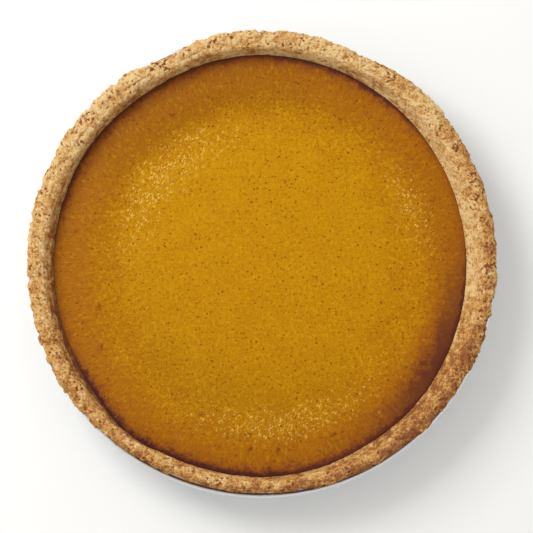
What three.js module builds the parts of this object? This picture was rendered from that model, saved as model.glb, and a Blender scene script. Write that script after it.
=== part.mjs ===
// Pumpkin pie in its foil tin. Millimetres, +Z up, origin at the centre of the tin's flat base.
//
//   tin      pressed foil dish: flat base, leaning wall, narrow flange and a rolled bead
//   crust    shortcrust shell: a floor and a wall against the foil, and an uneven rim on the flange
//   filling  set pumpkin custard, poured into the shell and stopping below the rim

import * as THREE from 'three';

// Clearance between neighbours that touch in the real pie
const GAP = 0.3;

// Foil tin, 12 inches across the bead and 10 inches across the base
const FOIL = 0.7;
const TIN_RADIUS = 152.4;
const TIN_BASE_RADIUS = 128.5;
const TIN_FLANGE_HEIGHT = 29.6;
const TIN_WALL_LEAN = THREE.MathUtils.degToRad(25);
const TIN_HEEL_ROUND = 4;
const TIN_SHOULDER_ROUND = 1.5;
const BEAD_ROUND = 1.4;

// Crust
const CRUST_FLOOR = 4.5;
const RIM_RADIUS = 152.7;
const RIM_OFF_CENTRE = new THREE.Vector2(0, 1.5);
const RIM_TOP = 38.6;
const RIM_LIP_DROP = 2.2;
const RIM_SLOPE_SHARE = 0.42;
const RIM_EDGE_ROUND = 1.2;

// Filling, whose top meets the crust in a slightly oval line
const FILLING_RADIUS = 137.1;
const FILLING_OVAL = 2;
const FILLING_OFF_CENTRE = new THREE.Vector2(-1.4, 0.4);
const FILLING_LEVEL = 25;
const BROWNED_BAND_RADIUS = 116;
const BROWNED_BAND_WIDTH = 14;
const BROWNED_BAND_RISE = 0.8;

// Steps round the pie
const TIN_STEPS = 72;
const FOOD_STEPS = 120;

// Where the rim's outer edge, and the line where the filling meets the crust, run inside (depth
// above 0) or outside their mean line: place and half width in degrees round +Z from +X, depth
// in millimetres
const RIM_DENTS = [
  { at: 115.5, half: 6.5, depth: 4.2 },
  { at: 65, half: 8, depth: 1.8 },
  { at: 45, half: 8, depth: -1.3 },
  { at: 0, half: 22, depth: -0.5 },
  { at: -100, half: 24, depth: 0.7 },
  { at: -150, half: 15, depth: -1.6 },
  { at: 172, half: 20, depth: -0.5 },
];
const FILLING_DENTS = [
  { at: 122, half: 16, depth: 1.8 },
  { at: 150, half: 8, depth: -2 },
  { at: -128, half: 10, depth: -3 },
  { at: -60, half: 10, depth: -1.3 },
];

// The rim's unevenness: waves round the pie, amplitude in millimetres and phase in radians
const EDGE_WAVES = [
  { count: 13, size: 0.28, phase: 0.4 },
  { count: 22, size: 0.3, phase: 2.1 },
  { count: 31, size: 0.22, phase: 4.0 },
];
const TOP_WAVES = [
  { count: 7, size: 0.32, phase: 1.2 },
  { count: 17, size: 0.28, phase: 3.4 },
  { count: 27, size: 0.22, phase: 0.9 },
];
const FILLING_WAVES = [
  { count: 11, size: 0.25, phase: 2.6 },
  { count: 19, size: 0.15, phase: 0.7 },
];

// Corners of the tin that the crust follows: the arcs at the wall's foot and head share these
// centres with every surface that runs parallel to the foil
const WALL_RISE = Math.PI / 2 - TIN_WALL_LEAN;
const HEEL_CENTRE = new THREE.Vector2(TIN_BASE_RADIUS, TIN_HEEL_ROUND);
const SHOULDER_CENTRE = shoulderCentre();
const BEAD_CENTRE = new THREE.Vector2(
  TIN_RADIUS - BEAD_ROUND,
  TIN_FLANGE_HEIGHT + FOIL - 0.1,
);

function shoulderCentre() {
  const z = TIN_FLANGE_HEIGHT - TIN_SHOULDER_ROUND;
  const rise = z - HEEL_CENTRE.y + (TIN_SHOULDER_ROUND + TIN_HEEL_ROUND) * Math.cos(WALL_RISE);
  const run = rise / Math.tan(WALL_RISE);
  const rounds = (TIN_SHOULDER_ROUND + TIN_HEEL_ROUND) * Math.sin(WALL_RISE);
  return new THREE.Vector2(HEEL_CENTRE.x + run + rounds, z);
}

function arc(centre, radius, from, to, steps) {
  const points = [];
  for (let i = 0; i <= steps; i += 1) {
    const angle = THREE.MathUtils.lerp(from, to, i / steps);
    const x = centre.x + radius * Math.cos(angle);
    const y = centre.y + radius * Math.sin(angle);
    points.push(new THREE.Vector2(x, y));
  }
  return points;
}

// The wall's foot, from the flat base up to the wall, set in from the foil's underside
function heel(inset) {
  const radius = TIN_HEEL_ROUND - inset;
  return arc(HEEL_CENTRE, radius, -Math.PI / 2, -Math.PI / 2 + WALL_RISE, 2);
}

// The wall's head, from the wall out to the flange, set in from the foil's underside
function shoulder(inset) {
  const radius = TIN_SHOULDER_ROUND + inset;
  return arc(SHOULDER_CENTRE, radius, Math.PI / 2 + WALL_RISE, Math.PI / 2, 2);
}

// Radius of the wall's line at a height, set in from the foil's underside
function wallRadius(height, inset) {
  const [, , foot] = heel(inset);
  return foot.x + (height - foot.y) / Math.tan(WALL_RISE);
}

function waves(list, angle) {
  return list.reduce((sum, w) => sum + w.size * Math.sin(w.count * angle + w.phase), 0);
}

function dents(list, angle) {
  let depth = 0;
  for (const dent of list) {
    const turn = angle - THREE.MathUtils.degToRad(dent.at);
    const away = Math.atan2(Math.sin(turn), Math.cos(turn));
    const reach = away / THREE.MathUtils.degToRad(dent.half);
    depth += dent.depth * Math.exp(-reach * reach);
  }
  return depth;
}

function offCentre(shift, angle) {
  return shift.x * Math.cos(angle) + shift.y * Math.sin(angle);
}

function rimRadius(angle) {
  const uneven = waves(EDGE_WAVES, angle) - dents(RIM_DENTS, angle);
  return RIM_RADIUS + offCentre(RIM_OFF_CENTRE, angle) + uneven;
}

function rimTop(angle) {
  return RIM_TOP + waves(TOP_WAVES, angle);
}

// Where the filling's top meets the crust
function fillingRadius(angle) {
  const uneven = waves(FILLING_WAVES, angle) - dents(FILLING_DENTS, angle);
  const oval = FILLING_OVAL * Math.cos(2 * angle);
  return FILLING_RADIUS - oval + offCentre(FILLING_OFF_CENTRE, angle) + uneven;
}

// Height of the filling's top: level in the middle, a little puffed up where it has browned
function fillingTop(radius) {
  const reach = (radius - BROWNED_BAND_RADIUS) / BROWNED_BAND_WIDTH;
  return FILLING_LEVEL + BROWNED_BAND_RISE * Math.exp(-reach * reach);
}

// Solid of revolution whose section may change with the angle. A section runs from the axis out
// along the underside, up, and back along the top to the axis, always with as many points. Each
// face is halved from its upper near corner to its lower far one, so two pieces that face each
// other across a gap are halved alike and the gap stays even.
function unevenLathe(sectionAt, steps) {
  const sections = [];
  for (let i = 0; i < steps; i += 1) {
    sections.push(sectionAt((i / steps) * 2 * Math.PI));
  }
  const rows = sections[0].length;
  const positions = sections.flatMap((section, i) => {
    const angle = (i / steps) * 2 * Math.PI;
    return section.flatMap((p) => [p.x * Math.cos(angle), p.x * Math.sin(angle), p.y]);
  });
  const indices = [];
  for (let i = 0; i < steps; i += 1) {
    const near = i * rows;
    const far = ((i + 1) % steps) * rows;
    for (let j = 0; j < rows - 1; j += 1) {
      const falls = sections[i][j].y > sections[i][j + 1].y;
      if (j > 0) {
        indices.push(near + j, far + j, falls ? far + j + 1 : near + j + 1);
      }
      if (j < rows - 2) {
        indices.push(near + j + 1, falls ? near + j : far + j, far + j + 1);
      }
    }
  }
  const geometry = new THREE.BufferGeometry();
  geometry.setAttribute('position', new THREE.Float32BufferAttribute(positions, 3));
  geometry.setIndex(indices);
  geometry.computeVertexNormals();
  return geometry;
}

// Foil tin: its underside out to the bead, round the bead, and back along its upper side
function tinSection() {
  const beadSteps = 7;
  const underside = Math.PI + Math.asin((BEAD_CENTRE.y - TIN_FLANGE_HEIGHT) / BEAD_ROUND);
  const upside = Math.PI - Math.asin((TIN_FLANGE_HEIGHT + FOIL - BEAD_CENTRE.y) / BEAD_ROUND);
  return [
    new THREE.Vector2(0, 0),
    ...heel(0),
    ...shoulder(0),
    ...arc(BEAD_CENTRE, BEAD_ROUND, underside - 2 * Math.PI, upside, beadSteps),
    ...shoulder(FOIL).reverse(),
    ...heel(FOIL).reverse(),
    new THREE.Vector2(0, FOIL),
  ];
}

// Crust: along the foil, over the bead, round the rim and back down along the filling
function crustSection(angle) {
  const inset = FOIL + GAP;
  const clearOfBead = BEAD_CENTRE.y + BEAD_ROUND + GAP + 0.1;
  const outer = rimRadius(angle);
  const foot = Math.min(BEAD_CENTRE.x - BEAD_ROUND - GAP, outer - RIM_EDGE_ROUND - 0.8);
  const top = rimTop(angle);
  const edge = fillingRadius(angle);
  const slope = RIM_SLOPE_SHARE * (outer - edge);
  const lip = edge + slope;
  const width = outer - lip;
  const lipHeight = top - RIM_LIP_DROP;
  const edgeHeight = fillingTop(edge);
  const floor = inset + CRUST_FLOOR;
  return [
    new THREE.Vector2(0, inset),
    ...heel(inset),
    ...shoulder(inset),
    new THREE.Vector2(foot, TIN_FLANGE_HEIGHT + inset),
    new THREE.Vector2(foot + 0.4, clearOfBead),
    new THREE.Vector2(outer - RIM_EDGE_ROUND, clearOfBead),
    new THREE.Vector2(outer, clearOfBead + RIM_EDGE_ROUND),
    new THREE.Vector2(outer - 0.04 * width, top - 2.6),
    new THREE.Vector2(outer - 0.18 * width, top - 0.7),
    new THREE.Vector2(outer - 0.45 * width, top),
    new THREE.Vector2(lip + 0.25 * width, top - 0.6),
    new THREE.Vector2(lip, lipHeight),
    new THREE.Vector2(edge + 0.42 * slope, (lipHeight + edgeHeight) / 2),
    new THREE.Vector2(edge, edgeHeight),
    ...shellInside(0),
    new THREE.Vector2(0, floor),
  ];
}

// The shell's inner wall from below the filling's top down to the floor's edge, which the filling
// follows with an inset
function shellInside(inset) {
  const wallInset = FOIL + GAP + CRUST_FLOOR;
  const head = FILLING_LEVEL - 4;
  const floor = wallInset + inset;
  const lean = inset / Math.sin(WALL_RISE);
  return [
    new THREE.Vector2(wallRadius(head, wallInset) - lean, head),
    new THREE.Vector2(wallRadius(floor + 3, wallInset) - lean, floor + 3),
    new THREE.Vector2(wallRadius(floor, wallInset) - lean - 2, floor),
  ];
}

function fillingSection(angle) {
  const edge = fillingRadius(angle) - GAP;
  const floor = FOIL + GAP + CRUST_FLOOR + GAP;
  const top = [edge - 5, BROWNED_BAND_RADIUS + 5, BROWNED_BAND_RADIUS - 10, 80, 0];
  return [
    new THREE.Vector2(0, floor),
    ...shellInside(GAP).reverse(),
    new THREE.Vector2(edge, fillingTop(edge)),
    ...top.map((radius) => new THREE.Vector2(radius, fillingTop(radius))),
  ];
}

function piece(name, geometry, color, roughness, metalness) {
  const material = new THREE.MeshStandardMaterial({ color, roughness, metalness });
  const mesh = new THREE.Mesh(geometry, material);
  mesh.name = name;
  return mesh;
}

const pie = new THREE.Group();
pie.add(
  piece('tin', unevenLathe(tinSection, TIN_STEPS), 0xc8cacc, 0.35, 1),
  piece('crust', unevenLathe(crustSection, FOOD_STEPS), 0xc49865, 0.85, 0),
  piece('filling', unevenLathe(fillingSection, FOOD_STEPS), 0xc48808, 0.4, 0),
);

export default pie;
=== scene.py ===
"""Pumpkin pie in its foil tin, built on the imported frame. Metres, +Z up, base centre at the origin."""

import math

import bpy
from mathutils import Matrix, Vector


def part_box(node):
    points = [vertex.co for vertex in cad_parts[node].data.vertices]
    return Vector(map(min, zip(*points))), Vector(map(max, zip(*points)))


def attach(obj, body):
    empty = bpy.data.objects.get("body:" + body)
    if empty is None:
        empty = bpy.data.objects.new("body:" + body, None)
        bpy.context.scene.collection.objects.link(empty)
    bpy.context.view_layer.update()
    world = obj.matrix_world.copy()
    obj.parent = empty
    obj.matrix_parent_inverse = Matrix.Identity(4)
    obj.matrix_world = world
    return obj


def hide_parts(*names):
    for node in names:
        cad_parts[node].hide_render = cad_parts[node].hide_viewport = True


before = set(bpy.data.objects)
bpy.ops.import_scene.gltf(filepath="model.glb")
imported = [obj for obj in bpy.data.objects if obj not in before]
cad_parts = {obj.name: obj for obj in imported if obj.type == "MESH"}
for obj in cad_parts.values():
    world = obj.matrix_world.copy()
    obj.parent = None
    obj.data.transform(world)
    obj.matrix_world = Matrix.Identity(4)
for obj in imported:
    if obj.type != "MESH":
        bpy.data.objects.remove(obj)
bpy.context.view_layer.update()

bl_info = {
    "name": "Pumpkin pie",
    "version": (1, 0, 0),
    "blender": (4, 5, 0),
    "location": "View3D > Sidebar > Pie",
    "description": "Models a baked pumpkin pie in its foil tin, with a plain stage",
    "category": "Mesh",
}

MM = 0.001

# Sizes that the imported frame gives
TIN_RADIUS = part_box("tin")[1].x
FILLING_BASE, FILLING_TOP = (corner.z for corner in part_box("filling"))

# The rim's mean outer line and the mean line where the filling meets the crust
RIM_RADIUS = TIN_RADIUS + 0.25 * MM
RIM_SHIFT = (0.0, 1.5 * MM)
FILLING_RADIUS = TIN_RADIUS - 15.3 * MM
FILLING_SHIFT = (-1.4 * MM, 0.4 * MM)
FILLING_OVAL = 2 * MM
FILLING_LEVEL = FILLING_TOP - 0.8 * MM

# The filling's browned band, which stands a little proud
BAND_RADIUS = 116 * MM
BAND_WIDTH = 14 * MM
BAND_RISE = 0.8 * MM

# Just over the tin's flange, where the crust starts to be free of the foil
OVER_FLANGE = 30.3 * MM

# Where those lines run in (depth above 0) or out: degrees round +Z from +X, half width in
# degrees, depth in millimetres
RIM_DENTS = (
    (115.5, 6.5, 4.2),
    (65, 8, 1.8),
    (45, 8, -1.3),
    (0, 22, -0.5),
    (-100, 24, 0.7),
    (-150, 15, -1.6),
    (172, 20, -0.5),
)
FILLING_DENTS = (
    (122, 16, 1.8),
    (150, 8, -0.4),
    (-128, 10, -3.0),
    (-60, 10, 0.8),
)


# ---------------------------------------------------------------- node trees as expressions


class Wire:
    """One output of a node. Arithmetic on it adds Math nodes to its tree."""

    def __init__(self, nodes, socket):
        self.nodes = nodes
        self.socket = socket

    def __add__(self, other):
        return self.nodes.math("ADD", self, other)

    def __radd__(self, other):
        return self.nodes.math("ADD", other, self)

    def __sub__(self, other):
        return self.nodes.math("SUBTRACT", self, other)

    def __rsub__(self, other):
        return self.nodes.math("SUBTRACT", other, self)

    def __mul__(self, other):
        return self.nodes.math("MULTIPLY", self, other)

    def __rmul__(self, other):
        return self.nodes.math("MULTIPLY", other, self)

    def __truediv__(self, other):
        return self.nodes.math("DIVIDE", self, other)

    def __rtruediv__(self, other):
        return self.nodes.math("DIVIDE", other, self)


class Nodes:
    """Adds nodes to one tree: a material's, a geometry's or the world's."""

    def __init__(self, tree):
        self.tree = tree

    def add(self, kind, settings=None, sockets=None, output=0):
        """Adds a node, makes its settings, feeds its sockets and returns one of its outputs."""
        node = self.tree.nodes.new(kind)
        for name, value in (settings or {}).items():
            setattr(node, name, value)
        for name, value in (sockets or {}).items():
            self.feed(node.inputs[name], value)
        return Wire(self, node.outputs[output])

    def feed(self, socket, value):
        if isinstance(value, Wire):
            self.tree.links.new(value.socket, socket)
        else:
            socket.default_value = value

    def math(self, operation, *values):
        return self.add("ShaderNodeMath", {"operation": operation}, dict(enumerate(values)))

    def most(self, a, b):
        return self.math("MAXIMUM", a, b)

    def fade(self, value, start, end, low=0.0, high=1.0):
        """low where value is at start, high where it is at end, and an eased step between."""
        limits = {"Value": value, "From Min": start, "From Max": end, "To Min": low, "To Max": high}
        return self.add("ShaderNodeMapRange", {"interpolation_type": "SMOOTHSTEP"}, limits)

    def bell(self, value, middle, half):
        """1 where value is middle, falling off to both sides."""
        reach = (value - middle) / half
        return self.math("EXPONENT", reach * reach * -1.0)

    def split(self, vector):
        """The x, y and z of a vector."""
        parts = self.add("ShaderNodeSeparateXYZ", None, {0: vector})
        return [Wire(self, output) for output in parts.socket.node.outputs]

    def join(self, x, y, z):
        return self.add("ShaderNodeCombineXYZ", None, {"X": x, "Y": y, "Z": z})

    def scaled(self, vector, factor):
        return self.add("ShaderNodeVectorMath", {"operation": "SCALE"}, {"Vector": vector, "Scale": factor})

    def moved(self, vector, shift):
        return self.add("ShaderNodeVectorMath", {"operation": "ADD"}, {0: vector, 1: shift})

    def noise(self, vector, size, detail=2.0, roughness=0.5, distortion=0.0, output=0):
        """Noise from 0 to 1, whose blobs are about size across."""
        sockets = {
            "Vector": vector,
            "Scale": 1 / size,
            "Detail": detail,
            "Roughness": roughness,
            "Distortion": distortion,
        }
        return self.add("ShaderNodeTexNoise", None, sockets, output)

    def wobble(self, vector, size, reach, detail=2.0):
        """The vector, moved about by up to roughly reach."""
        colour = self.noise(vector, size, detail, output=1)
        centred = self.moved(colour, (-0.5, -0.5, -0.5))
        return self.moved(vector, self.scaled(centred, 2 * reach))

    def cells(self, vector, size):
        """Distance to the nearest of scattered points size apart, in sizes."""
        return self.add("ShaderNodeTexVoronoi", None, {"Vector": vector, "Scale": 1 / size})

    def tint(self, factor, a, b):
        """Colour a where the factor is 0, and colour b where it is 1."""
        return self.add("ShaderNodeMix", {"data_type": "RGBA"}, {0: factor, 6: a, 7: b}, output=2)

    def attribute(self, name):
        if self.tree.type == "GEOMETRY":
            return self.add("GeometryNodeInputNamedAttribute", {"data_type": "FLOAT"}, {"Name": name})
        return self.add("ShaderNodeAttribute", {"attribute_name": name}, None, output=2)


def around(nodes, angle, degrees, half):
    """1 where the angle is at a bearing, falling off over half degrees to both sides."""
    turn = angle - math.radians(degrees)
    away = nodes.math("ARCTAN2", nodes.math("SINE", turn), nodes.math("COSINE", turn))
    return nodes.bell(away, 0.0, math.radians(half))


def dents(nodes, angle, places):
    """How far a line runs in at an angle, from a list of its dents."""
    return sum(around(nodes, angle, at, half) * (depth * MM) for at, half, depth in places)


def off_centre(nodes, angle, shift):
    """How far a circle's line runs out at an angle, when its middle is shifted."""
    return nodes.math("COSINE", angle) * shift[0] + nodes.math("SINE", angle) * shift[1]


def rim_line(nodes, angle):
    """How far the rim's outer edge runs outside its mean radius."""
    return off_centre(nodes, angle, RIM_SHIFT) - dents(nodes, angle, RIM_DENTS)


def filling_line(nodes, angle):
    """How far the filling's edge runs outside its mean radius."""
    oval = nodes.math("COSINE", angle * 2.0) * FILLING_OVAL
    return off_centre(nodes, angle, FILLING_SHIFT) - oval - dents(nodes, angle, FILLING_DENTS)


def relief(piece, name, build):
    """Runs a geometry node tree over the piece and applies it. build gets the nodes and geometry."""
    tree = bpy.data.node_groups.new(name, "GeometryNodeTree")
    tree.interface.new_socket("Geometry", in_out="INPUT", socket_type="NodeSocketGeometry")
    tree.interface.new_socket("Geometry", in_out="OUTPUT", socket_type="NodeSocketGeometry")
    nodes = Nodes(tree)
    shaped = build(nodes, nodes.add("NodeGroupInput"))
    end = tree.nodes.new("NodeGroupOutput")
    nodes.feed(end.inputs[0], shaped)
    modifier = piece.modifiers.new(name, "NODES")
    modifier.node_group = tree
    bpy.ops.object.modifier_apply(modifier=modifier.name)
    bpy.data.node_groups.remove(tree)


def shifted(nodes, geometry, offset):
    """Moves each vertex by the offset worked out for it."""
    return nodes.add("GeometryNodeSetPosition", None, {"Geometry": geometry, "Offset": offset})


def stored(nodes, geometry, name, value):
    """Keeps a number at each vertex, for the piece's material."""
    settings = {"data_type": "FLOAT", "domain": "POINT"}
    sockets = {"Geometry": geometry, "Name": name, "Value": value}
    return nodes.add("GeometryNodeStoreNamedAttribute", settings, sockets)


# ---------------------------------------------------------------- modelling by hand


def trace(name, points):
    """Starts a piece as a chain of edges, by extruding one vertex through (radius, height) points."""
    bpy.ops.object.select_all(action="DESELECT")
    bpy.ops.mesh.primitive_plane_add(size=MM)
    piece = bpy.context.object
    piece.name = name
    piece.data.name = name
    bpy.ops.object.mode_set(mode="EDIT")
    bpy.ops.mesh.merge(type="CENTER")
    bpy.ops.transform.translate(value=(points[0][0], 0.0, points[0][1]))
    draw_on(points[0], points[1:])
    bpy.ops.object.mode_set(mode="OBJECT")
    return piece


def draw_on(here, points):
    """Extrudes the selected end of a chain from (radius, height) through more such points."""
    for radius, height in points:
        step = (radius - here[0], 0.0, height - here[1])
        bpy.ops.mesh.extrude_region_move(TRANSFORM_OT_translate={"value": step})
        here = (radius, height)


def pick_end(piece, point):
    """In edit mode, selects only the vertex at a (radius, height) point."""
    bpy.ops.object.mode_set(mode="EDIT")
    bpy.ops.mesh.select_mode(type="VERT")
    bpy.ops.mesh.select_all(action="DESELECT")
    bpy.ops.object.mode_set(mode="OBJECT")
    nearest = min(
        piece.data.vertices,
        key=lambda vertex: math.hypot(vertex.co.x - point[0], vertex.co.z - point[1]),
    )
    nearest.select = True
    bpy.ops.object.mode_set(mode="EDIT")
    return nearest.co.x, nearest.co.z


def turned(piece, steps):
    """Turns the chain once round the pie's axis."""
    screw = piece.modifiers.new("Turn", "SCREW")
    screw.steps = steps
    screw.render_steps = steps
    screw.use_merge_vertices = True
    screw.merge_threshold = 0.001 * MM
    screw.use_smooth_shade = True
    bpy.ops.object.modifier_apply(modifier=screw.name)


def refined(piece, levels):
    subdivision = piece.modifiers.new("Refine", "SUBSURF")
    subdivision.levels = levels
    subdivision.render_levels = levels
    bpy.ops.object.modifier_apply(modifier=subdivision.name)


def capped():
    """Closes the open rings with a flat face each, and turns every face outwards."""
    bpy.ops.object.mode_set(mode="EDIT")
    bpy.ops.mesh.select_mode(type="EDGE")
    bpy.ops.mesh.select_all(action="DESELECT")
    bpy.ops.mesh.select_non_manifold(extend=False)
    bpy.ops.mesh.edge_face_add()
    bpy.ops.mesh.select_all(action="SELECT")
    bpy.ops.mesh.normals_make_consistent(inside=False)
    bpy.ops.object.mode_set(mode="OBJECT")


def finished(piece, node, material):
    """Gives the piece its material and puts it in place of its CAD node."""
    bpy.ops.object.select_all(action="DESELECT")
    piece.select_set(True)
    bpy.context.view_layer.objects.active = piece
    bpy.ops.object.shade_smooth()
    piece.data.materials.clear()
    piece.data.materials.append(material)
    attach(piece, "root")
    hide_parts(node)


def new_material(name):
    """A plain material, what adds nodes to it, and its surface node."""
    material = bpy.data.materials.new(name)
    material.use_nodes = True
    return material, Nodes(material.node_tree), material.node_tree.nodes["Principled BSDF"]


def place_on(nodes):
    """Where a point is on its piece, in metres."""
    return nodes.add("ShaderNodeTexCoord", None, None, output=3)


def colour_property(name, description, default):
    return bpy.props.FloatVectorProperty(
        name=name,
        description=description,
        default=default,
        size=4,
        min=0.0,
        max=1.0,
        subtype="COLOR",
    )


def length_property(name, description, default):
    return bpy.props.FloatProperty(
        name=name,
        description=description,
        default=default,
        min=0.0,
        precision=5,
        subtype="DISTANCE",
        unit="LENGTH",
    )


# ---------------------------------------------------------------- foil tin


# Steps in the turning, so that each pleat gets the same number
STEPS_PER_PLEAT = 4


class PieTinSettings(bpy.types.PropertyGroup):
    foil: length_property("Foil", "Thickness of the pressed foil", 0.25 * MM)
    base_radius: length_property("Base radius", "Radius of the flat base", 128.5 * MM)
    flange_height: length_property("Flange height", "Height of the flange's underside", 29.6 * MM)
    bead: length_property("Bead", "Radius of the rolled bead", 1.4 * MM)
    pleats: bpy.props.IntProperty(
        name="Pleats",
        description="Number of pressed pleats round the wall",
        default=232,
        min=1,
    )
    pleat_depth: length_property("Pleat depth", "Depth of the pleats", 0.45 * MM)
    colour: colour_property("Foil colour", "Colour of the foil", (0.8, 0.81, 0.83, 1.0))


def foil_section(settings):
    """The foil's outer side, from the middle of the base up the wall and round the bead."""
    base = settings.base_radius
    flange = settings.flange_height
    bead = settings.bead
    bead_middle = (TIN_RADIUS - bead, flange + 0.6 * MM)
    ring, ring_rise = 100 * MM, 0.6 * MM
    wall_foot = (base + 3.6 * MM, 2.3 * MM)
    wall_top = (base + 15.2 * MM, flange - 2 * MM)
    points = [(0.0, 0.0), (0.2 * ring, 0.0), (ring - 5 * MM, 0.0), (ring - 3.5 * MM, ring_rise)]
    points += [(ring, ring_rise), (ring + 1.5 * MM, 0.0), (base - 6 * MM, 0.0)]
    points += [(base, 0.0), (base + 2.2 * MM, 0.7 * MM), wall_foot]
    for share in (0.12, 0.3, 0.5, 0.7, 0.88, 1.0):
        radius = wall_foot[0] + share * (wall_top[0] - wall_foot[0])
        height = wall_foot[1] + share * (wall_top[1] - wall_foot[1])
        points.append((radius, height))
    points += [(base + 16.3 * MM, flange - 0.4 * MM), (base + 17.8 * MM, flange)]
    points.append((base + 20.0 * MM, flange))
    for degrees in range(-150, 181, 15):
        turn = math.radians(degrees)
        round_bead = (bead * math.cos(turn), bead * math.sin(turn))
        points.append((bead_middle[0] + round_bead[0], bead_middle[1] + round_bead[1]))
    return points


def pleated(nodes, geometry, settings):
    """Presses the pleats into the wall, towards the crust."""
    x, y, z = nodes.split(nodes.add("GeometryNodeInputPosition"))
    angle = nodes.math("ARCTAN2", y, x)
    radius = nodes.math("SQRT", x * x + y * y)
    uneven = nodes.noise(nodes.join(x, y, 0.0), 9 * MM) * 5.0
    ridge = nodes.math("SINE", angle * float(settings.pleats) + uneven)
    flange = settings.flange_height
    wall = nodes.fade(z, 0.5 * MM, 4 * MM) * nodes.fade(z, flange - 0.2 * MM, flange - 3.6 * MM)
    inwards = (ridge * -0.5 + -0.5) * wall * settings.pleat_depth
    creases = nodes.noise(nodes.join(x, y, z), 5 * MM, detail=3.0) * wall * (-0.3 * MM)
    share = (inwards + creases) / radius
    return shifted(nodes, geometry, nodes.join(x * share, y * share, 0.0))


def foil_material(settings):
    material, nodes, surface = new_material("foil")
    surface.inputs["Metallic"].default_value = 1.0
    place = place_on(nodes)
    smudge = nodes.noise(place, 14 * MM, detail=4.0)
    shade = tuple(0.82 * channel for channel in settings.colour[:3]) + (1.0,)
    nodes.feed(surface.inputs["Base Color"], nodes.tint(smudge, tuple(settings.colour), shade))
    nodes.feed(surface.inputs["Roughness"], nodes.fade(smudge, 0.2, 0.8, 0.2, 0.42))
    crinkle = nodes.noise(nodes.wobble(place, 6 * MM, 2 * MM), 3 * MM, detail=3.0)
    bump = nodes.add("ShaderNodeBump", None, {"Strength": 0.35, "Distance": 0.4 * MM, "Height": crinkle})
    nodes.feed(surface.inputs["Normal"], bump)
    return material


class PIE_OT_tin(bpy.types.Operator):
    """Models the pressed foil tin with its rolled bead"""

    bl_idname = "pie.tin"
    bl_label = "Foil tin"

    def execute(self, context):
        settings = context.scene.pie_tin
        tin = trace("foil_tin", foil_section(settings))
        turned(tin, STEPS_PER_PLEAT * settings.pleats)
        bpy.ops.object.mode_set(mode="EDIT")
        bpy.ops.mesh.select_all(action="SELECT")
        bpy.ops.mesh.remove_doubles(threshold=0.001 * MM)
        bpy.ops.mesh.normals_make_consistent(inside=False)
        bpy.ops.object.mode_set(mode="OBJECT")
        relief(tin, "Pleats", lambda nodes, geometry: pleated(nodes, geometry, settings))
        solidify = tin.modifiers.new("Foil", "SOLIDIFY")
        solidify.thickness = settings.foil
        solidify.offset = -1.0
        bpy.ops.object.modifier_apply(modifier=solidify.name)
        finished(tin, "tin", foil_material(settings))
        return {"FINISHED"}


# ---------------------------------------------------------------- crust


class PieCrustSettings(bpy.types.PropertyGroup):
    rim_top: length_property("Rim top", "Mean height of the rim's ridge", 38.2 * MM)
    lumps: length_property("Lumps", "Height of the rim's broad lumps", 1.1 * MM)
    folds: length_property("Folds", "Height of the folds between the lumps", 2.0 * MM)
    crumb: length_property("Crumb", "Height of the crumbs on the rim", 1.4 * MM)
    grain: length_property("Grain", "Width of one grain of the dough", 2.2 * MM)
    pit_depth: length_property("Pit depth", "Depth of the pits and cracks", 0.7 * MM)
    # Pale and brown follow the crumbs' relief as well as noise: partly painted light on raised crumbs and
    # painted shade in the recesses
    pale: colour_property("Pale", "Raised, least baked crumb", (0.72, 0.50, 0.225, 1.0))
    golden: colour_property("Golden", "Common crumb", (0.54, 0.27, 0.070, 1.0))
    brown: colour_property("Brown", "Recesses between crumbs", (0.27, 0.095, 0.026, 1.0))
    burnt: colour_property("Burnt", "Burnt pits and cracks", (0.19, 0.043, 0.012, 1.0))
    # Dark brown at the foot of the inner wall, strongest on the left: partly painted shade where the wall
    # faces away from the light
    dark_foot: colour_property("Soaked", "Crust wetted by the filling", (0.14, 0.044, 0.018, 1.0))


# The rim's section: share of the way from the filling's edge out to the rim's outer edge, height
# below the ridge in millimetres, share of the ridge's unevenness, and share of the lip's overhang
RIM_SECTION = (
    (0.90, 5.9, 0.0, 0.0),
    (0.99, 4.4, 0.4, 0.0),
    (1.00, 2.8, 0.7, 0.0),
    (0.97, 1.3, 0.9, 0.0),
    (0.90, 0.4, 1.0, 0.0),
    (0.81, 0.1, 1.0, 0.0),
    (0.71, 0.0, 1.0, 0.1),
    (0.61, 0.2, 1.0, 0.3),
    (0.52, 0.5, 1.0, 0.65),
    (0.43, 1.4, 0.9, 1.0),
    (0.36, 3.2, 0.7, 1.0),
    (0.29, 5.6, 0.5, 0.85),
    (0.21, 8.2, 0.3, 0.6),
    (0.12, 10.8, 0.1, 0.3),
    (0.04, 12.8, 0.0, 0.0),
    (-0.02, 14.2, 0.0, 0.0),
)

# The crust under the rim, down the foil and onto the base, and its inner side below the filling's
# level: radius and height in millimetres
UNDER_RIM = ((149.6, 31.6), (146.6, 30.8), (142.6, 28.8), (130.6, 2.9), (128.6, 1.1), (122, 1.1))
UNDER_FILLING = ((134.4, 20), (128.5, 8.5), (125, 5.7))
CRUST_STEPS = 1400

# Where the lip leans in over the wall: degrees round +Z from +X, half width, overhang in millimetres
LIP_LEANS = (
    (-114, 40, 3.4),
    (92, 34, 3.2),
    (142, 26, 3.6),
    (180, 24, 1.2),
    (40, 20, 1.6),
)


def rim_points(settings):
    width = RIM_RADIUS - FILLING_RADIUS
    return [
        (FILLING_RADIUS + share * width, settings.rim_top - drop * MM)
        for share, drop, *_ in RIM_SECTION
    ]


def weigh_section(piece):
    """Gives each vertex of the rim its shares, as vertex groups that the turning carries on."""
    groups = [piece.vertex_groups.new(name=name) for name in ("outer", "ridge", "lip", "bare")]
    for index, (share, _, ridge, lip) in enumerate(RIM_SECTION):
        for group, weight in zip(groups, (share, ridge, lip, 1.0)):
            group.add([index], max(0.0, min(1.0, weight)), "REPLACE")


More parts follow.
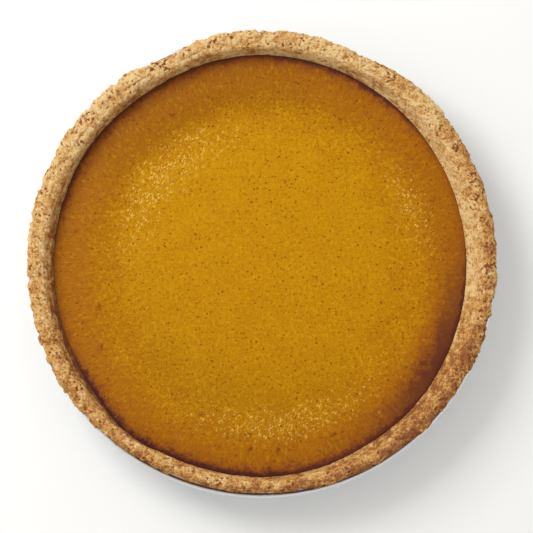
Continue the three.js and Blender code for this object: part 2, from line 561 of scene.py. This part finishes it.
def clear_of_foil(nodes, z):
    """1 on the rim and on the inner wall, fading to 0 where the crust lies on the foil."""
    over_flange = nodes.fade(z, OVER_FLANGE, OVER_FLANGE + 2 * MM)
    inner_side = nodes.fade(nodes.attribute("outer"), 0.6, 0.4)
    return nodes.most(over_flange, inner_side)


def fitted_rim(nodes, geometry):
    """Moves the mean rim onto its uneven outer and inner lines and its wavy ridge."""
    x, y, z = nodes.split(nodes.add("GeometryNodeInputPosition"))
    angle = nodes.math("ARCTAN2", y, x)
    radius = nodes.math("SQRT", x * x + y * y)
    outer = nodes.attribute("outer")
    bare = nodes.attribute("bare")
    shift = rim_line(nodes, angle) * outer + filling_line(nodes, angle) * (bare - outer)
    shift = shift - dents(nodes, angle, LIP_LEANS) * nodes.attribute("lip")
    shift = shift * clear_of_foil(nodes, z)
    share = shift / radius
    waves = nodes.noise(nodes.join(x, y, 0.0), 24 * MM, detail=1.0) - 0.5
    rise = waves * nodes.attribute("ridge") * (1.6 * MM)
    return shifted(nodes, geometry, nodes.join(x * share, y * share, rise))


def rim_across(nodes, angle, radius):
    """Share of the way from the filling's edge out to the rim's outer edge."""
    inner = filling_line(nodes, angle) + FILLING_RADIUS
    outer = rim_line(nodes, angle) + RIM_RADIUS
    return (radius - inner) / (outer - inner)


def crumbled(nodes, geometry, settings):
    """Raises lumps, folds and crumbs on the rim, and sinks pits and cracks into it."""
    position = nodes.add("GeometryNodeInputPosition")
    x, y, z = nodes.split(position)
    angle = nodes.math("ARCTAN2", y, x)
    radius = nodes.math("SQRT", x * x + y * y)
    across = rim_across(nodes, angle, radius)
    flat = nodes.join(x, y, 0.0)
    top = nodes.fade(z, settings.rim_top - 6 * MM, settings.rim_top - 2 * MM)
    right = around(nodes, angle, -12, 52)
    upper = around(nodes, angle, 128, 60)
    bottom = around(nodes, angle, -100, 45)

    lumps = nodes.noise(position, 13 * MM, detail=1.0) - 0.5
    folds = nodes.noise(nodes.wobble(position, 7 * MM, 3 * MM), 5.5 * MM, detail=2.0) - 0.5
    warped = nodes.wobble(position, 2.5 * MM, 1.0 * MM)
    crumb = nodes.noise(warped, 3.0 * MM, detail=3.0, roughness=0.6) - 0.5
    grain = nodes.fade(nodes.cells(warped, settings.grain), 0.75, 0.1) - 0.5
    jag = nodes.noise(flat, 3.4 * MM, detail=2.0, roughness=0.6) - 0.57
    bites = nodes.fade(nodes.noise(nodes.moved(flat, (0.9, 0.0, 0.0)), 9 * MM, detail=1.0), 0.52, 0.68)
    jag = jag * 2.8 - bites * 1.3 - bottom * 0.9
    jag = jag * nodes.fade(across, 0.78, 0.98) * MM

    patch = nodes.noise(nodes.moved(position, (3.1, 0.0, 0.0)), 9 * MM, detail=2.0) - 0.5
    outer_band = nodes.fade(across, 0.46, 0.62) * nodes.fade(across, 1.1, 0.95)
    likely = patch * 0.55 + outer_band * (right * 0.06 + upper * 0.03) - 0.035
    likely = likely - (1.0 - top) * 0.12
    spots = nodes.noise(nodes.wobble(position, 3 * MM, 1.2 * MM), 2.1 * MM, detail=2.0, roughness=0.5)
    pit = nodes.fade(spots + likely, 0.59, 0.67)

    along = angle * RIM_RADIUS
    leaning = nodes.join((along + radius) * 0.40, along - radius, 0.0)
    dashes = nodes.noise(nodes.wobble(leaning, 3 * MM, 1.2 * MM), 2.3 * MM, detail=2.0)
    dash = nodes.fade(dashes + patch * 0.3, 0.58, 0.68) * outer_band * nodes.fade(right, 0.25, 0.7)

    seam = nodes.noise(nodes.wobble(position, 5 * MM, 3 * MM), 8 * MM, detail=2.0) - 0.5
    crack = nodes.bell(seam, 0.0, 0.022) * nodes.fade(patch, 0.02, -0.08) * top
    weave = nodes.noise(flat, 20 * MM, detail=2.0) - 0.5
    fold_line = nodes.bell(across + weave * 0.4, 0.42, 0.06)
    fold_line = fold_line * upper * nodes.fade(nodes.noise(position, 13 * MM), 0.42, 0.58)
    crack = nodes.most(crack * 0.7, fold_line * 0.6)
    sunk = nodes.most(nodes.most(pit, dash * 0.8), crack)

    # The tone follows the relief, so raised crumbs come out paler and recesses browner: partly painted
    # light and painted shade
    tone = folds * 1.1 + crumb * 1.3 + grain * 0.25
    height = lumps * (2 * settings.lumps) + folds * (top * 0.5 + 0.5) * settings.folds + jag
    height = height + (crumb + grain * 0.22) * (top * 0.35 + 0.65) * settings.crumb
    height = height - sunk * (top * 0.7 + 0.3) * settings.pit_depth
    fading = nodes.attribute("bare") * nodes.fade(z, FILLING_LEVEL - 1.2 * MM, FILLING_LEVEL + 1.6 * MM)
    fading = fading * clear_of_foil(nodes, z)
    geometry = stored(nodes, geometry, "tone", tone)
    geometry = stored(nodes, geometry, "sunk", sunk)
    normal = nodes.add("GeometryNodeInputNormal")
    return shifted(nodes, geometry, nodes.scaled(normal, height * fading))


def crust_material(settings):
    material, nodes, surface = new_material("shortcrust")
    place = place_on(nodes)
    x, y, z = nodes.split(place)
    angle = nodes.math("ARCTAN2", y, x)
    radius = nodes.math("SQRT", x * x + y * y)
    across = rim_across(nodes, angle, radius)
    right = around(nodes, angle, -2, 48)
    left = around(nodes, angle, -155, 45)
    bottom = around(nodes, angle, -90, 55)
    lower_right = around(nodes, angle, -42, 32)
    shadowed_right = around(nodes, angle, -32, 16)
    lit_upper_left = around(nodes, angle, 165, 34)
    lit_side = nodes.fade(nodes.math("COSINE", angle - math.radians(67)), -0.45, 0.35)
    shaded_left = nodes.fade(nodes.math("COSINE", angle - math.radians(175)), 0.1, 0.8)
    outer_band = nodes.fade(across, 0.45, 0.7)
    middle_band = nodes.bell(across, 0.7, 0.24)
    inner_band = nodes.fade(across, 0.7, 0.4)

    blotch = nodes.noise(place, 5.0 * MM, detail=3.0, roughness=0.55) - 0.5
    speck = nodes.noise(place, 1.3 * MM, detail=2.0, roughness=0.6) - 0.5
    broad = nodes.noise(place, 16 * MM, detail=2.0) - 0.5
    tone = nodes.attribute("tone") + blotch * 1.4 + speck * 1.9 + broad * 1.2
    # Paler towards the upper side and the upper left, and darker on the outer band at the bottom: painted
    # light on the upper side, and painted shade under the overhanging lower edge
    tone = tone + lit_side * 0.26 + 0.50
    tone = tone - outer_band * bottom * 0.38 - middle_band * right * 0.32
    # Darker towards the lower right, most on the inner side: partly a painted cast shadow, partly a browner
    # bake
    tone = tone - shadowed_right * inner_band * 0.18 - lower_right * 0.31 + lit_upper_left * 0.15
    # The inner wall: painted light on the right, where it faces the main light, and painted shade on the
    # left, where it faces away from it
    wall = nodes.fade(z, settings.rim_top - 2.5 * MM, settings.rim_top - 6 * MM)
    wall = wall * nodes.fade(across, 0.7, 0.5)
    tone = tone + wall * (right * 0.16 - 0.06 + blotch * 1.3 - shaded_left * 0.32)
    colour = nodes.tint(nodes.fade(tone, -0.2, 0.42), tuple(settings.brown), tuple(settings.golden))
    colour = nodes.tint(nodes.fade(tone, 0.36, 1.0), colour, tuple(settings.pale))

    patches = nodes.noise(nodes.wobble(place, 4 * MM, 2 * MM), 4 * MM, detail=3.0, roughness=0.6)
    stain = nodes.fade(patches + outer_band * right * 0.08, 0.58, 0.72)
    colour = nodes.tint(stain * 0.6, colour, tuple(settings.brown))
    nicks = nodes.noise(nodes.wobble(place, 2 * MM, 1 * MM), 1.9 * MM, detail=3.0, roughness=0.6)
    nicked = nodes.fade(nicks + wall * 0.03, 0.57, 0.69)
    colour = nodes.tint(nicked * 0.7, colour, tuple(settings.brown))
    # Darker at the foot of the inner wall, strongest on the left: partly painted shade where the wall faces
    # away from the light
    reach = nodes.fade(left, 0.2, 0.7, FILLING_LEVEL + 2.8 * MM, FILLING_LEVEL + 5 * MM)
    dark_foot = nodes.fade(z + blotch * (5 * MM), reach, reach - 2.4 * MM)
    dark_foot = dark_foot * nodes.fade(across, 0.5, 0.3) * (0.25 + left * 0.5) * (1.0 - right * 0.8)
    colour = nodes.tint(dark_foot, colour, tuple(settings.dark_foot))
    sunk = nodes.attribute("sunk")
    colour = nodes.tint(nodes.fade(sunk, 0.1, 0.8) * 0.9, colour, tuple(settings.burnt))
    nodes.feed(surface.inputs["Base Color"], colour)
    grit = nodes.noise(place, 1.3 * MM, detail=3.0, roughness=0.65) + blotch * 0.6
    bump = nodes.add("ShaderNodeBump", None, {"Strength": 0.9, "Distance": 0.65 * MM, "Height": grit})
    nodes.feed(surface.inputs["Normal"], bump)
    nodes.feed(surface.inputs["Roughness"], nodes.fade(tone, 0.0, 0.9, 0.68, 0.88))
    surface.inputs["Specular IOR Level"].default_value = 0.2
    return material


class PIE_OT_crust(bpy.types.Operator):
    """Models the shortcrust shell with its crumbly rim"""

    bl_idname = "pie.crust"
    bl_label = "Crust"

    def execute(self, context):
        settings = context.scene.pie_crust
        points = rim_points(settings)
        crust = trace("crust_shell", points)
        weigh_section(crust)
        refined(crust, 2)
        here = pick_end(crust, points[0])
        draw_on(here, [(radius * MM, height * MM) for radius, height in UNDER_RIM])
        here = pick_end(crust, points[-1])
        draw_on(here, [(radius * MM, height * MM) for radius, height in UNDER_FILLING])
        bpy.ops.object.mode_set(mode="OBJECT")
        turned(crust, CRUST_STEPS)
        capped()
        relief(crust, "Rim", fitted_rim)
        relief(crust, "Crumb", lambda nodes, geometry: crumbled(nodes, geometry, settings))
        finished(crust, "crust", crust_material(settings))
        return {"FINISHED"}


# ---------------------------------------------------------------- filling


class PieFillingSettings(bpy.types.PropertyGroup):
    skin: length_property("Skin bumps", "Height of the fine bumps in the skin", 0.07 * MM)
    amber: colour_property("Amber", "Custard in the middle", (0.47, 0.212, 0.0006, 1.0))
    ochre: colour_property("Ochre", "Custard halfway out", (0.405, 0.158, 0.0012, 1.0))
    orange: colour_property("Orange", "Browned custard", (0.36, 0.122, 0.0025, 1.0))
    rust: colour_property("Rust", "Well browned custard near the crust", (0.29, 0.084, 0.006, 1.0))
    edge: colour_property("Edge", "Darkest band against the crust", (0.128, 0.032, 0.014, 1.0))
    # The seam colour is partly a painted contact shadow at the foot of the crust, partly the filling's
    # darkest edge
    seam: colour_property("Seam", "Dark line against the crust", (0.062, 0.014, 0.014, 1.0))
    spice: colour_property("Spice", "Specks of ground spice", (0.15, 0.034, 0.003, 1.0))
    bright: colour_property("Bright", "Lightest custard in the skin's mottle", (0.56, 0.27, 0.002, 1.0))
    # Painted glints: pale yellow specks that stand in for the main light caught on the skin's fine bumps, a
    # painted highlight
    painted_glint: colour_property("Flecks", "Bright flecks on blistered skin", (0.86, 0.56, 0.12, 1.0))


# The filling's top starts as a circle with this many corners, filled with a square grid
GRID_SPAN = 36
FILLING_CORNERS = 4 * GRID_SPAN

# The filling's side, from its edge down to its base: radius and height
FILLING_SIDE = (
    (FILLING_RADIUS + 0.3 * MM, FILLING_LEVEL - 0.15 * MM),
    (FILLING_RADIUS + 0.3 * MM, FILLING_LEVEL - 1.2 * MM),
    (134 * MM, 21 * MM),
    (128 * MM, 9 * MM),
    (124 * MM, FILLING_BASE),
)

# Browned blisters in the skin: x, y and half width in millimetres
BLISTERS = (
    (-8, -122, 2.2),
    (10, -122, 1.9),
    (-9, -113, 1.8),
    (-40, -99, 1.8),
    (-123, 21, 1.6),
    (-107, -29, 1.8),
    (-105, -55, 2.4),
    (-60, 99, 1.7),
    (-66, 96, 1.3),
    (46, -112, 2.0),
    (52, 96, 1.5),
)

# Creases in the skin: x and y of the two ends in millimetres
CREASES = (
    (-97.5, 11, -95, 2),
    (-95, 2, -92, -7),
    (98, 51, 104.5, 39),
    (104.5, 39, 117, 43),
)


def in_patch(nodes, x, y, middle, half):
    """1 at a place on the filling, fading out over half its width and half its depth, in millimetres."""
    aside = (x - middle[0] * MM) / (half[0] * MM)
    ahead = (y - middle[1] * MM) / (half[1] * MM)
    return nodes.math("EXPONENT", (aside * aside + ahead * ahead) * -1.0)


def creased(nodes, x, y, half):
    """1 along the creases, fading out over half their width in metres."""
    lines = []
    for x0, y0, x1, y1 in CREASES:
        length = math.hypot(x1 - x0, y1 - y0)
        run = ((x1 - x0) / length, (y1 - y0) / length)
        middle = ((x0 + x1) / 2 * MM, (y0 + y1) / 2 * MM)
        along = (x - middle[0]) * run[0] + (y - middle[1]) * run[1]
        aside = (y - middle[1]) * run[0] - (x - middle[0]) * run[1]
        ends = nodes.fade(nodes.math("ABSOLUTE", along), (length / 2 + 1) * MM, (length / 2 - 2) * MM)
        lines.append(nodes.bell(aside, 0.0, half) * ends)
    return sum(lines)


def filling_relief(nodes, geometry, settings):
    """Fits the disc to its uneven edge and gives its skin its rise, wrinkles and fine bumps."""
    position = nodes.add("GeometryNodeInputPosition")
    x, y, z = nodes.split(position)
    angle = nodes.math("ARCTAN2", y, x)
    radius = nodes.math("SQRT", x * x + y * y)
    out = radius / FILLING_RADIUS
    share = filling_line(nodes, angle) * out * out / FILLING_RADIUS
    top = nodes.fade(z, FILLING_LEVEL - 1.2 * MM, FILLING_LEVEL - 0.1 * MM)
    flat = nodes.join(x, y, 0.0)
    band = nodes.bell(radius, BAND_RADIUS, BAND_WIDTH) * BAND_RISE
    broad = (nodes.noise(flat, 30 * MM, detail=1.0) - 0.5) * (0.9 * MM)
    ripple = (nodes.noise(flat, 7 * MM, detail=2.0) - 0.5) * (0.25 * MM)
    bumps = (nodes.noise(flat, 1.9 * MM, detail=2.0) - 0.5) * (2 * settings.skin)
    blistered = in_patch(nodes, x, y, (105, 30), (18, 40)) + in_patch(nodes, x, y, (20, -105), (50, 16))
    blisters = nodes.fade(nodes.cells(flat, 3.4 * MM), 0.5, 0.15) * blistered * (0.35 * MM)
    for x0, y0, half in BLISTERS:
        blisters = blisters + in_patch(nodes, x, y, (x0, y0), (half, half)) * (0.25 * MM)
    creases = creased(nodes, x, y, 1.0 * MM) * (-0.5 * MM)
    rise = (band + broad + ripple + bumps + blisters + creases) * top
    return shifted(nodes, geometry, nodes.join(x * share, y * share, rise))


def filling_material(settings):
    material, nodes, surface = new_material("pumpkin_custard")
    place = place_on(nodes)
    x, y, _ = nodes.split(place)
    angle = nodes.math("ARCTAN2", y, x)
    radius = nodes.math("SQRT", x * x + y * y)
    inside = FILLING_RADIUS + filling_line(nodes, angle) - radius
    flat = nodes.join(x, y, 0.0)

    cloud = nodes.noise(flat, 18 * MM, detail=4.0, roughness=0.6) - 0.5
    wander = nodes.noise(nodes.moved(flat, (0.3, 0.0, 0.0)), 7 * MM, detail=4.0, roughness=0.65) - 0.5
    mottle = nodes.noise(nodes.moved(flat, (0.0, 0.7, 0.0)), 3.0 * MM, detail=3.0, roughness=0.7) - 0.5
    grain = nodes.noise(flat, 1.6 * MM, detail=2.0, roughness=0.7) - 0.5
    upper = around(nodes, angle, 115, 55)
    lower = around(nodes, angle, -110, 60)
    lower_right = around(nodes, angle, -30, 26)
    faint_seam = around(nodes, angle, -66, 20)
    pale_edge = around(nodes, angle, 20, 25) + around(nodes, angle, -174, 24)
    open_skin = nodes.fade(inside, 8 * MM, 34 * MM)

    depth = inside - upper * nodes.bell(inside, 27 * MM, 9 * MM) * (9 * MM)
    depth = depth + cloud * nodes.fade(inside, 0.0, 40 * MM, 3 * MM, 26 * MM)
    depth = depth + (mottle * 30 + grain * 26) * nodes.fade(inside, 2 * MM, 22 * MM, 0.06, 1.0) * MM
    colour = nodes.tint(nodes.fade(depth, 28 * MM, 62 * MM), tuple(settings.ochre), tuple(settings.amber))
    colour = nodes.tint(nodes.fade(y, 90 * MM, -110 * MM) * 0.45, colour, tuple(settings.ochre))
    patchy = mottle * 1.1 + grain * 1.1 + cloud * 0.5
    colour = nodes.tint(nodes.fade(patchy, -0.05, 0.3) * open_skin * 0.75, colour, tuple(settings.bright))
    colour = nodes.tint(nodes.fade(patchy, -0.02, -0.3) * 0.45, colour, tuple(settings.orange))
    colour = nodes.tint(nodes.fade(depth, 32 * MM, 12 * MM), colour, tuple(settings.orange))
    # Darker near the upper edge and halfway out towards the bottom
    darkened = upper * nodes.fade(inside, 44 * MM, 30 * MM) * 0.19
    darkened = darkened + lower * nodes.bell(inside, 48 * MM, 26 * MM) * 0.12
    colour = nodes.scaled(colour, 1.0 - darkened)

    way_round = nodes.join(x / radius * FILLING_RADIUS, y / radius * FILLING_RADIUS, radius * 0.35)
    wrinkles = nodes.noise(way_round, 1.6 * MM, detail=3.0, roughness=0.7) - 0.5
    near_crust = nodes.fade(inside, 36 * MM, 14 * MM)
    lit = nodes.fade(wrinkles + mottle * 0.5, 0.0, 0.28) * near_crust
    colour = nodes.tint(lit * 0.75, colour, tuple(settings.amber))
    shaded = nodes.fade(wrinkles + mottle * 0.5, 0.0, -0.28) * near_crust
    colour = nodes.tint(shaded * 0.8, colour, tuple(settings.rust))

    ragged_edge = (wander * 15 + mottle * 10 + wrinkles * 7) * MM
    browned = inside + 0.8 * MM + ragged_edge * nodes.fade(inside, 0.0, 6 * MM, 0.1, 1.0)
    browned = browned + pale_edge * (5.5 * MM)
    scorch = nodes.noise(nodes.wobble(flat, 5 * MM, 3 * MM), 4.5 * MM, detail=3.0, roughness=0.6)
    scorch = nodes.fade(scorch, 0.56, 0.70) * nodes.bell(inside, 19 * MM, 11 * MM)
    colour = nodes.tint(scorch * (0.15 + lower * 0.55), colour, tuple(settings.rust))
    rusty = nodes.fade(browned, 13 * MM, 4.5 * MM)
    rusty = nodes.most(rusty, lower_right * nodes.fade(inside + ragged_edge, 26 * MM, 12 * MM))
    colour = nodes.tint(rusty * 0.85, colour, tuple(settings.rust))
    darkest = nodes.fade(browned, 7.2 * MM, 2.0 * MM) * (0.95 - upper * 0.3)
    darkest = nodes.most(darkest, lower_right * nodes.fade(inside + ragged_edge * 1.4, 18 * MM, 5 * MM))
    colour = nodes.tint(darkest, colour, tuple(settings.edge))
    # Dark line along the crust: partly a painted contact shadow at the wall's foot, partly the filling's
    # darkest edge
    seam = nodes.fade(inside + (wander * 10 + wrinkles * 4) * MM, 3.0 * MM, 1.0 * MM)
    seam = seam * nodes.fade(pale_edge, 0.1, 0.7, 0.85, 0.1)
    seam = seam * (1.0 - lower_right * 0.4) * (1.0 - upper * 0.45) * (1.0 - faint_seam * 0.4)
    colour = nodes.tint(seam, colour, tuple(settings.seam))

    size = nodes.noise(flat, 2.5 * MM)
    crooked = nodes.wobble(flat, 1.2 * MM, 0.4 * MM)
    specks = nodes.fade(nodes.cells(crooked, 4.4 * MM), 0.21, 0.08) * nodes.fade(size, 0.40, 0.56)
    dust = nodes.noise(nodes.moved(flat, (0.5, 0.2, 0.0)), 1.9 * MM, detail=1.0)
    dust = nodes.fade(dust + size * 0.15, 0.70, 0.79)
    spice = nodes.most(specks * 0.85, dust * 0.6)
    ragged = (x + mottle * (9 * MM) + grain * (4 * MM), y + grain * (7 * MM) + wander * (5 * MM))
    for x0, y0, half in BLISTERS:
        blister = in_patch(nodes, ragged[0], ragged[1], (x0, y0), (half * 0.8, half * 0.8))
        spice = nodes.most(spice, blister * 0.85)
    browned_crease = creased(nodes, ragged[0], ragged[1], 0.5 * MM) * nodes.fade(size, 0.35, 0.6)
    spice = nodes.most(spice, browned_crease * 0.5)
    colour = nodes.tint(spice, colour, tuple(settings.spice))

    # Painted glints: pale specks in bands where the skin would catch the main light, a painted highlight
    # laid into the colour; they also raise the bump a little
    glint_band = nodes.bell(radius, 88 * MM, 15 * MM) * around(nodes, angle, 138, 36) * 1.2
    ring = nodes.bell(radius, 106 * MM, 12 * MM)
    glint_band = glint_band + ring * (around(nodes, angle, -82, 36) + around(nodes, angle, 20, 18) * 0.8)
    slanted = nodes.join(x * 1.1 - y * 0.65, x * 0.3 + y * 0.5, 0.0)
    glints = nodes.cells(nodes.wobble(slanted, 1.6 * MM, 0.5 * MM), 1.25 * MM)
    strewn = nodes.noise(nodes.moved(flat, (1.5, 0.2, 0.0)), 3.2 * MM, detail=2.0) + mottle * 0.3
    painted_glint = nodes.fade(glints, 0.52, 0.15) * nodes.fade(strewn + glint_band * 0.18, 0.58, 0.72)
    painted_glint = painted_glint * nodes.fade(inside, 4 * MM, 12 * MM) * nodes.fade(glint_band, 0.0, 0.7, 0.15, 0.75)
    colour = nodes.tint(painted_glint, colour, tuple(settings.painted_glint))
    nodes.feed(surface.inputs["Base Color"], colour)
    nodes.feed(surface.inputs["Roughness"], nodes.fade(grain, -0.25, 0.25, 0.24, 0.42))
    surface.inputs["Specular IOR Level"].default_value = 0.06
    height = mottle * 0.6 + grain + painted_glint * 0.6 + wrinkles * near_crust * 0.9
    bump = nodes.add("ShaderNodeBump", None, {"Strength": 0.8, "Distance": 0.45 * MM, "Height": height})
    nodes.feed(surface.inputs["Normal"], bump)
    return material


class PIE_OT_filling(bpy.types.Operator):
    """Models the set custard filling with its browned skin"""

    bl_idname = "pie.filling"
    bl_label = "Filling"

    def execute(self, context):
        settings = context.scene.pie_filling
        here = (FILLING_RADIUS - 0.4 * MM, FILLING_LEVEL)
        bpy.ops.object.select_all(action="DESELECT")
        bpy.ops.mesh.primitive_circle_add(
            vertices=FILLING_CORNERS, radius=here[0], location=(0, 0, here[1])
        )
        filling = bpy.context.object
        filling.name = "custard_filling"
        filling.data.name = "custard_filling"
        bpy.ops.object.transform_apply(location=True, rotation=False, scale=False)
        bpy.ops.object.mode_set(mode="EDIT")
        bpy.ops.mesh.select_all(action="SELECT")
        bpy.ops.mesh.fill_grid(span=GRID_SPAN)
        bpy.ops.object.mode_set(mode="OBJECT")
        refined(filling, 3)
        bpy.ops.object.mode_set(mode="EDIT")
        bpy.ops.mesh.select_mode(type="EDGE")
        bpy.ops.mesh.select_all(action="DESELECT")
        bpy.ops.mesh.select_non_manifold(extend=False)
        for radius, height in FILLING_SIDE:
            bpy.ops.mesh.extrude_region_move(
                TRANSFORM_OT_translate={"value": (0, 0, height - here[1])}
            )
            scale = radius / here[0]
            bpy.ops.transform.resize(value=(scale, scale, 1.0), center_override=(0, 0, height))
            here = (radius, height)
        bpy.ops.object.mode_set(mode="OBJECT")
        capped()
        relief(filling, "Skin", lambda nodes, geometry: filling_relief(nodes, geometry, settings))
        finished(filling, "filling", filling_material(settings))
        return {"FINISHED"}


# ---------------------------------------------------------------- stage


class PieStageSettings(bpy.types.PropertyGroup):
    floor: colour_property("Floor", "Colour of the plain floor", (0.86, 0.86, 0.85, 1.0))
    distance: length_property("Camera distance", "From the camera to the rim", 1.17)
    width: length_property("View width", "Width of the view at the rim", 0.347)
    tilt: bpy.props.FloatProperty(
        name="Camera tilt",
        description="How far the camera leans towards the front, from straight above",
        default=math.radians(7),
        subtype="ANGLE",
        unit="ROTATION",
    )
    key: bpy.props.FloatProperty(
        name="Main light",
        description="Power of the soft light from the upper left",
        default=12.0,
        min=0.0,
        subtype="POWER",
        unit="POWER",
    )
    fill: bpy.props.FloatProperty(
        name="Surrounding light",
        description="Strength of the even light from all round",
        default=0.8,
        min=0.0,
    )


FLOOR_SIZE = 6
FLOOR_DROP = 0.05 * MM
LIGHT_PLACE = (-0.75, 0.62, 0.95)
LIGHT_SIZE = 0.7
SURROUNDING_COLOUR = (1.0, 0.99, 0.97, 1.0)
OVERHEAD_STRENGTH = 0.45
AIM = (2.9 * MM, -2.9 * MM, 32 * MM)


class PIE_OT_stage(bpy.types.Operator):
    """Sets up the pale floor, the soft light and the camera"""

    bl_idname = "pie.stage"
    bl_label = "Stage"

    def execute(self, context):
        settings = context.scene.pie_stage
        scene = context.scene
        bpy.ops.object.select_all(action="DESELECT")
        bpy.ops.mesh.primitive_plane_add(size=FLOOR_SIZE, location=(0, 0, -FLOOR_DROP))
        floor = context.object
        floor.name = "floor"
        material, _, surface = new_material("floor_paint")
        surface.inputs["Base Color"].default_value = tuple(settings.floor)
        surface.inputs["Roughness"].default_value = 0.7
        floor.data.materials.append(material)

        world = bpy.data.worlds.new("studio")
        world.use_nodes = True
        nodes = Nodes(world.node_tree)
        height = nodes.split(nodes.add("ShaderNodeTexCoord"))[2]
        background = world.node_tree.nodes["Background"]
        background.inputs["Color"].default_value = SURROUNDING_COLOUR
        strength = nodes.fade(height, 1.0, 0.9, OVERHEAD_STRENGTH, settings.fill)
        nodes.feed(background.inputs["Strength"], strength)
        scene.world = world

        bpy.ops.object.light_add(type="AREA", location=LIGHT_PLACE)
        key = context.object
        key.name = "main_light"
        key.data.shape = "SQUARE"
        key.data.size = LIGHT_SIZE
        key.data.energy = settings.key
        toward = -key.location
        key.rotation_euler = toward.to_track_quat("-Z", "Y").to_euler()

        lean = settings.tilt
        camera_place = (
            AIM[0],
            AIM[1] - settings.distance * math.sin(lean),
            AIM[2] + settings.distance * math.cos(lean),
        )
        bpy.ops.object.camera_add(location=camera_place, rotation=(lean, 0.0, 0.0))
        camera = context.object
        camera.name = "camera"
        camera.data.angle = 2 * math.atan(settings.width / 2 / settings.distance)
        scene.camera = camera
        scene.view_settings.view_transform = "Standard"
        return {"FINISHED"}


# ---------------------------------------------------------------- add-on


class PIE_PT_panel(bpy.types.Panel):
    """Lists the pie's pieces and their settings"""

    bl_label = "Pumpkin pie"
    bl_idname = "PIE_PT_panel"
    bl_space_type = "VIEW_3D"
    bl_region_type = "UI"
    bl_category = "Pie"

    def draw(self, context):
        for operator, settings in STEPS:
            box = self.layout.box()
            box.operator(operator)
            group = getattr(context.scene, settings)
            for name in group.bl_rna.properties.keys():
                if name not in ("rna_type", "name"):
                    box.prop(group, name)


STEPS = (
    ("pie.stage", "pie_stage"),
    ("pie.tin", "pie_tin"),
    ("pie.crust", "pie_crust"),
    ("pie.filling", "pie_filling"),
)
GROUPS = {
    "pie_stage": PieStageSettings,
    "pie_tin": PieTinSettings,
    "pie_crust": PieCrustSettings,
    "pie_filling": PieFillingSettings,
}
CLASSES = (*GROUPS.values(), PIE_OT_stage, PIE_OT_tin, PIE_OT_crust, PIE_OT_filling, PIE_PT_panel)


def register():
    for item in CLASSES:
        bpy.utils.register_class(item)
    for name, group in GROUPS.items():
        setattr(bpy.types.Scene, name, bpy.props.PointerProperty(type=group))


def unregister():
    for name in GROUPS:
        delattr(bpy.types.Scene, name)
    for item in reversed(CLASSES):
        bpy.utils.unregister_class(item)


def main():
    register()
    bpy.ops.pie.stage()
    bpy.ops.pie.tin()
    bpy.ops.pie.crust()
    bpy.ops.pie.filling()


if __name__ == "__main__":
    main()
